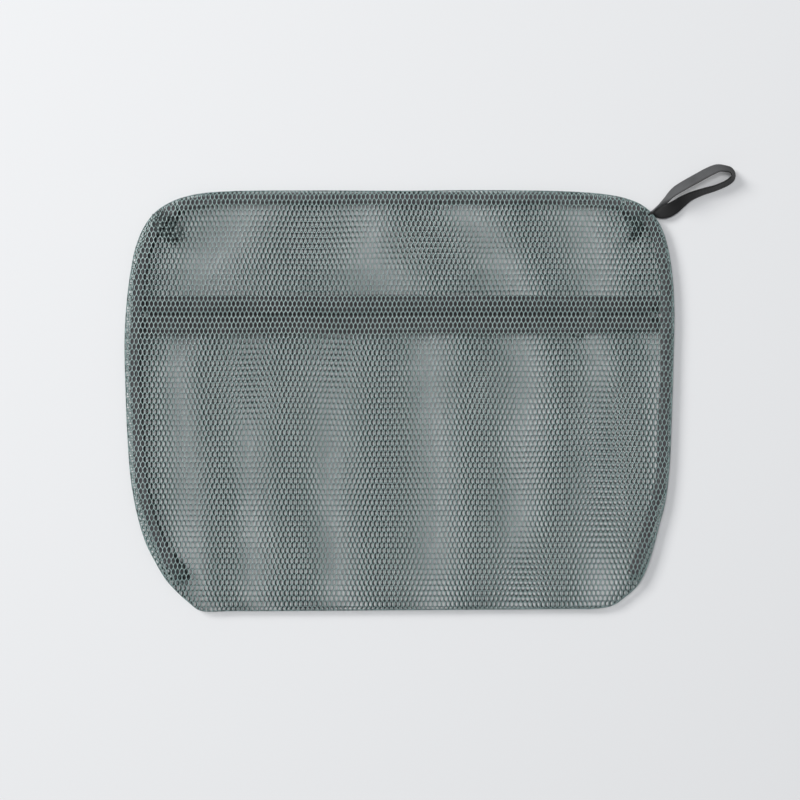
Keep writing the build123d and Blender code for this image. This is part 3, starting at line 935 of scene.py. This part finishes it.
# ------------------------------------------------------------------ slider and tab
SX = 143.5


def block(outline, z0, z1, bevel, seg=3):
    """A plate with rounded edges."""
    k = len(outline)
    v = [(x, y, z0) for x, y in outline] + [(x, y, z1) for x, y in outline]
    f = [tuple(range(k - 1, -1, -1)), tuple(range(k, 2 * k))]
    f += [(i, (i + 1) % k, (i + 1) % k + k, i + k) for i in range(k)]
    bm = bmesh.new()
    bv = [bm.verts.new(Vector(a) * MM) for a in v]
    for g in f:
        bm.faces.new([bv[i] for i in g])
    bmesh.ops.recalc_face_normals(bm, faces=bm.faces)
    if bevel:
        bmesh.ops.bevel(bm, geom=list(bm.edges), offset=bevel * MM, segments=seg, profile=0.5,
                        affect="EDGES", clamp_overlap=True)
    return bm


def rounded(cx, cy, w, h, r, n=5):
    pts = []
    for sx, sy, a0 in ((1, 1, 0), (-1, 1, 90), (-1, -1, 180), (1, -1, 270)):
        for k in range(n + 1):
            a = math.radians(a0 + 90 * k / n)
            pts.append((cx + sx * (w / 2 - r) + r * math.cos(a), cy + sy * (h / 2 - r) + r * math.sin(a)))
    return pts


def joined(name, bms, mat):
    me = bpy.data.meshes.new(name)
    out = bmesh.new()
    for b in bms:
        tmp = bpy.data.meshes.new("tmp")
        b.to_mesh(tmp)
        out.from_mesh(tmp)
        bpy.data.meshes.remove(tmp)
        b.free()
    out.to_mesh(me)
    out.free()
    o = bpy.data.objects.new(name, me)
    bpy.context.collection.objects.link(o)
    for p in me.polygons:
        p.use_smooth = True
    try:
        me.set_sharp_from_angle(angle=math.radians(50))
    except Exception:
        pass
    return paint(o, mat)


PL = TAPE_Z - 1.7 - 0.3  # inner face of the outer plate
plate = [(SX - 6.5, ZIP_Y - 4.0), (SX - 5.6, ZIP_Y - 4.5), (SX + 1.0, ZIP_Y - 5.2), (SX + 5.6, ZIP_Y - 5.2),
         (SX + 6.5, ZIP_Y - 4.4), (SX + 6.5, ZIP_Y + 4.4), (SX + 5.6, ZIP_Y + 5.2), (SX + 1.0, ZIP_Y + 5.2),
         (SX - 5.6, ZIP_Y + 4.5), (SX - 6.5, ZIP_Y + 4.0)]
parts = [block(plate, PL - 0.72, PL, 0.28)]
for s in (-1, 1):
    parts.append(block(rounded(SX, ZIP_Y + s * 4.3, 11.6, 0.7, 0.3, 2), PL - 0.2, PL + 1.4, 0.1, 1))
parts.append(block(rounded(SX, ZIP_Y, 13.0, 9.0, 2.2), TAPE_Z + 0.86, TAPE_Z + 1.52, 0.24))
# the bridge: two feet and a bar
for s in (-1, 1):
    parts.append(block(rounded(SX + s * 2.75, ZIP_Y, 0.9, 2.0, 0.3, 2), 0.4, PL - 0.55, 0.12, 1))
parts.append(block(rounded(SX, ZIP_Y, 6.4, 2.0, 0.9), 0.12, 0.62, 0.2, 2))
slider = joined("slider", parts, PAINT)
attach(slider, "slider")
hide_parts("zipper_slider")


def tab_mesh():
    """Pull tab: a plate with an eye and a slot, cut from a filled 2-D curve."""
    cu = bpy.data.curves.new("tab", "CURVE")
    cu.dimensions = "2D"
    cu.fill_mode = "BOTH"
    shapes = [rounded(11.5, 0, 24.0, 9.6, 2.9, 8), rounded(3.1, 0, 5.2, 6.8, 1.0, 5), rounded(17.6, 0, 6.6, 3.2, 1.58, 8)]
    for pts in shapes:
        sp = cu.splines.new("POLY")
        sp.points.add(len(pts) - 1)
        for q, (x, y) in zip(sp.points, pts):
            q.co = (x * MM, y * MM, 0, 1)
        sp.use_cyclic_u = True
    cu.extrude = 0.15 * MM
    cu.bevel_depth = 0.2 * MM
    cu.offset = -0.2 * MM
    cu.bevel_resolution = 2
    tmp = bpy.data.objects.new("tab_curve", cu)
    bpy.context.collection.objects.link(tmp)
    dg = bpy.context.evaluated_depsgraph_get()
    me = bpy.data.meshes.new_from_object(tmp.evaluated_get(dg))
    bpy.data.objects.remove(tmp)
    bpy.data.curves.remove(cu)
    return me


me = tab_mesh()
me.name = "pull_tab_plate"
ang = math.radians(225)
for v in me.vertices:
    x, y, z = v.co
    v.co = (SX * MM + x * math.cos(ang) - y * math.sin(ang), ZIP_Y * MM + x * math.sin(ang) + y * math.cos(ang), 1.45 * MM + z)
tab = bpy.data.objects.new("pull_tab_plate", me)
bpy.context.collection.objects.link(tab)
paint(tab, PAINT)
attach(tab, "tab")
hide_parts("pull_tab")

# ------------------------------------------------------------------ hanging loop
ROOT = np.array([183.6, 136.4, SEAM_Z])
LA = math.atan2(0.4466, 0.8946)
U = np.array([math.cos(LA), math.sin(LA), 0.0])
V = np.array([-math.sin(LA), math.cos(LA), 0.0])
Z = np.array([0, 0, 1.0])
STATIONS = [
    (0.5, 0.6, 0.42, 87, 0.2), (3.6, 1.6, 0.5, 83, 0.22), (6.4, 2.4, 0.7, 76, 0.28), (9.6, 3.7, 1.5, 60, 0.38),
    (13, 4.9, 2.5, 44, 0.58), (17, 5.8, 3.4, 34, 0.86), (22, 6.6, 4.0, 37, 1), (28, 7.2, 4.4, 41, 1),
    (40, 7.8, 4.6, 42, 1), (50, 8.1, 4.7, 42, 1), (56.5, 7.6, 4.4, 38, 1), (61.2, 5.2, 3.3, 33, 1),
    (64.6, 2.2, 1.7, 30, 1), (65.3, -0.9, 0.3, 28, 1), (63.8, -3.4, -0.5, 25, 1),
    (59.5, -4.7, -0.95, 22, 1), (50.4, -4.4, -0.95, 20, 1), (40.2, -2.7, -0.8, 24, 1),
    (31, -1.8, -0.5, 33, 1), (23.4, -2.4, -0.8, 50, 1), (16.5, -3.5, -1.1, 66, 1),
    (11.0, -3.6, -1.2, 74, 1), (6.4, -2.5, -1.0, 80, 0.92), (3.2, -1.4, -0.8, 84, 0.66), (0.5, -0.4, -0.5, 87, 0.3),
]


def ribbon(name, st, width, thick, rib):
    # stations: out, sideways, up, lean of the tape's top edge inwards, width
    p = catmull(st, 24, closed=False)
    xyz = ROOT + p[:, :1] * U + p[:, 1:2] * V + p[:, 2:3] * Z
    s = np.concatenate([[0], np.cumsum(np.linalg.norm(np.diff(xyz, axis=0), axis=1))])
    at = np.linspace(0, s[-1], int(s[-1] / 0.25))
    full = np.stack([np.interp(at, s, c) for c in np.hstack([xyz, p[:, 3:5]]).T], 1)
    q, lean, wide = full[:, :3], np.radians(full[:, 3]), full[:, 4]
    t = np.gradient(q, axis=0)
    t /= np.linalg.norm(t, axis=1)[:, None]
    out = np.stack([-t[:, 1], t[:, 0], 0 * t[:, 0]], 1)
    out /= np.linalg.norm(out, axis=1)[:, None]
    w = Z[None] * np.cos(lean)[:, None] - out * np.sin(lean)[:, None]
    w = w - t * (w * t).sum(1)[:, None]
    w /= np.linalg.norm(w, axis=1)[:, None]
    n = np.cross(t, w)
    rows, painted_light = [], []
    for i in range(len(q)):
        lit = 1 - smooth((i / len(q) - 0.40) / 0.12)
        lit *= 0.86 + 0.14 * math.cos(2 * math.pi * i * 0.25 / 1.1)
        h = thick / 2 * (1 + rib * math.cos(2 * math.pi * i * 0.25 / 1.1))
        sec = []
        for a in (-5.0, -4.8, -3.4, -1.7, 0, 1.7, 3.4, 4.8, 5.0):
            e = 0.55 if abs(a) >= 5 else 1.0
            k = width / 10.0 * wide[i]
            cup = 1.1 * (1 - wide[i]) * (a / 5.0) ** 2 * 4.0
            sec.append((a * k, h * e, cup))
        sec += [(a, -b, c) for a, b, c in sec[::-1]]
        rows.append([q[i] + w[i] * a + n[i] * (b + c) for a, b, c in sec])
        # painted light: the outer face of the first strand is painted lit, darker towards its edges and striped along
        # the ribs; the inner face and the returning strand are painted in shade
        painted_light += [0.04] * 9 + [lit * (0.3 if b in (0, 8) else 0.7 if b in (1, 7) else 1.0) for b in range(9)]
    v, f = tube(rows)
    o = mesh(name, v, f)
    bm = bmesh.new()
    bm.from_mesh(o.data)
    bmesh.ops.recalc_face_normals(bm, faces=bm.faces)
    bm.to_mesh(o.data)
    bm.free()
    shade = o.data.color_attributes.new("painted_light", "FLOAT_COLOR", "POINT")
    shade.data.foreach_set("color", np.repeat(np.array(painted_light)[:, None], 4, 1).ravel())
    return paint(o, LOOP)


loop = ribbon("hanging_loop_tape", STATIONS, 10.0, 0.8, 0.16)
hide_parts("hanging_loop")
ends = ribbon("loop_ends", [(-7.5, 0, 0.0, 89.5, 1), (-4.5, 0, 0.0, 89.5, 0.8), (-2.0, 0, 0.0, 89.5, 0.34), (1.6, 0, 0.0, 89.5, 0.28)], 9.9, 1.5, 0.06)
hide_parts("loop_sewn_ends")
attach(ends, "bag")
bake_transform(loop)

vs, fs, n = [], [], 0
for k in range(6):
    at = ROOT + U * (-1.6 + k * 0.3) + Z * 0.76
    al = V + U * (0.1 if k % 2 else -0.1)
    al /= np.linalg.norm(al)
    v, f = stitch(at, al, Z, 3.0, 0.36, 0.36)
    vs.append(v)
    fs += [tuple(i + n for i in g) for g in f]
    n += len(v)
# painted shade: the loop's bar stitches are painted near-black
tack = paint(mesh("loop_bar_stitches", np.vstack(vs), fs), DARK_PAINTED_SHADE)
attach(tack, "bag")
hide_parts("loop_bartack")

# ------------------------------------------------------------------ floor, light, camera
bpy.ops.mesh.primitive_plane_add(size=40, location=(0, 0, -0.0002))
floor = bpy.context.object
floor.name = "floor"
FLOOR = material("floor", (0.80, 0.805, 0.815), rough=0.9, spec=0.2)
paint(floor, FLOOR)


def area_light(name, loc, target, size, watts, color=(1, 1, 1)):
    l = bpy.data.lights.new(name, "AREA")
    l.shape = "RECTANGLE"
    l.size, l.size_y = size
    l.energy = watts
    l.color = color
    o = bpy.data.objects.new(name, l)
    o.location = loc
    o.rotation_euler = (Vector(target) - Vector(loc)).to_track_quat("-Z", "Y").to_euler()
    bpy.context.collection.objects.link(o)
    return o


area_light("key", (-3.5, 2.17, 2.83), (0, 0, 0), (2.0, 2.0), 180, (1.0, 0.998, 0.99))
area_light("top", (-0.5, 0.45, 4.0), (0, 0, 0), (0.9, 0.9), 75, (0.985, 0.993, 1.0))
world = bpy.data.worlds.new("world")
bpy.context.scene.world = world
world.use_nodes = True
world.node_tree.nodes["Background"].inputs["Color"].default_value = (0.93, 0.955, 1.0, 1)
world.node_tree.nodes["Background"].inputs["Strength"].default_value = 0.19

cam_data = bpy.data.cameras.new("camera")
cam_data.lens = 85
cam_data.sensor_width = 36
cam = bpy.data.objects.new("camera", cam_data)
bpy.context.collection.objects.link(cam)
cam.location = (0.00036, 0.00036, 0.006 + 0.58184 / 2 / math.tan(math.atan(18 / 85)))
cam.rotation_euler = (0, 0, 0)
bpy.context.scene.camera = cam
bpy.context.scene.view_settings.view_transform = "Standard"
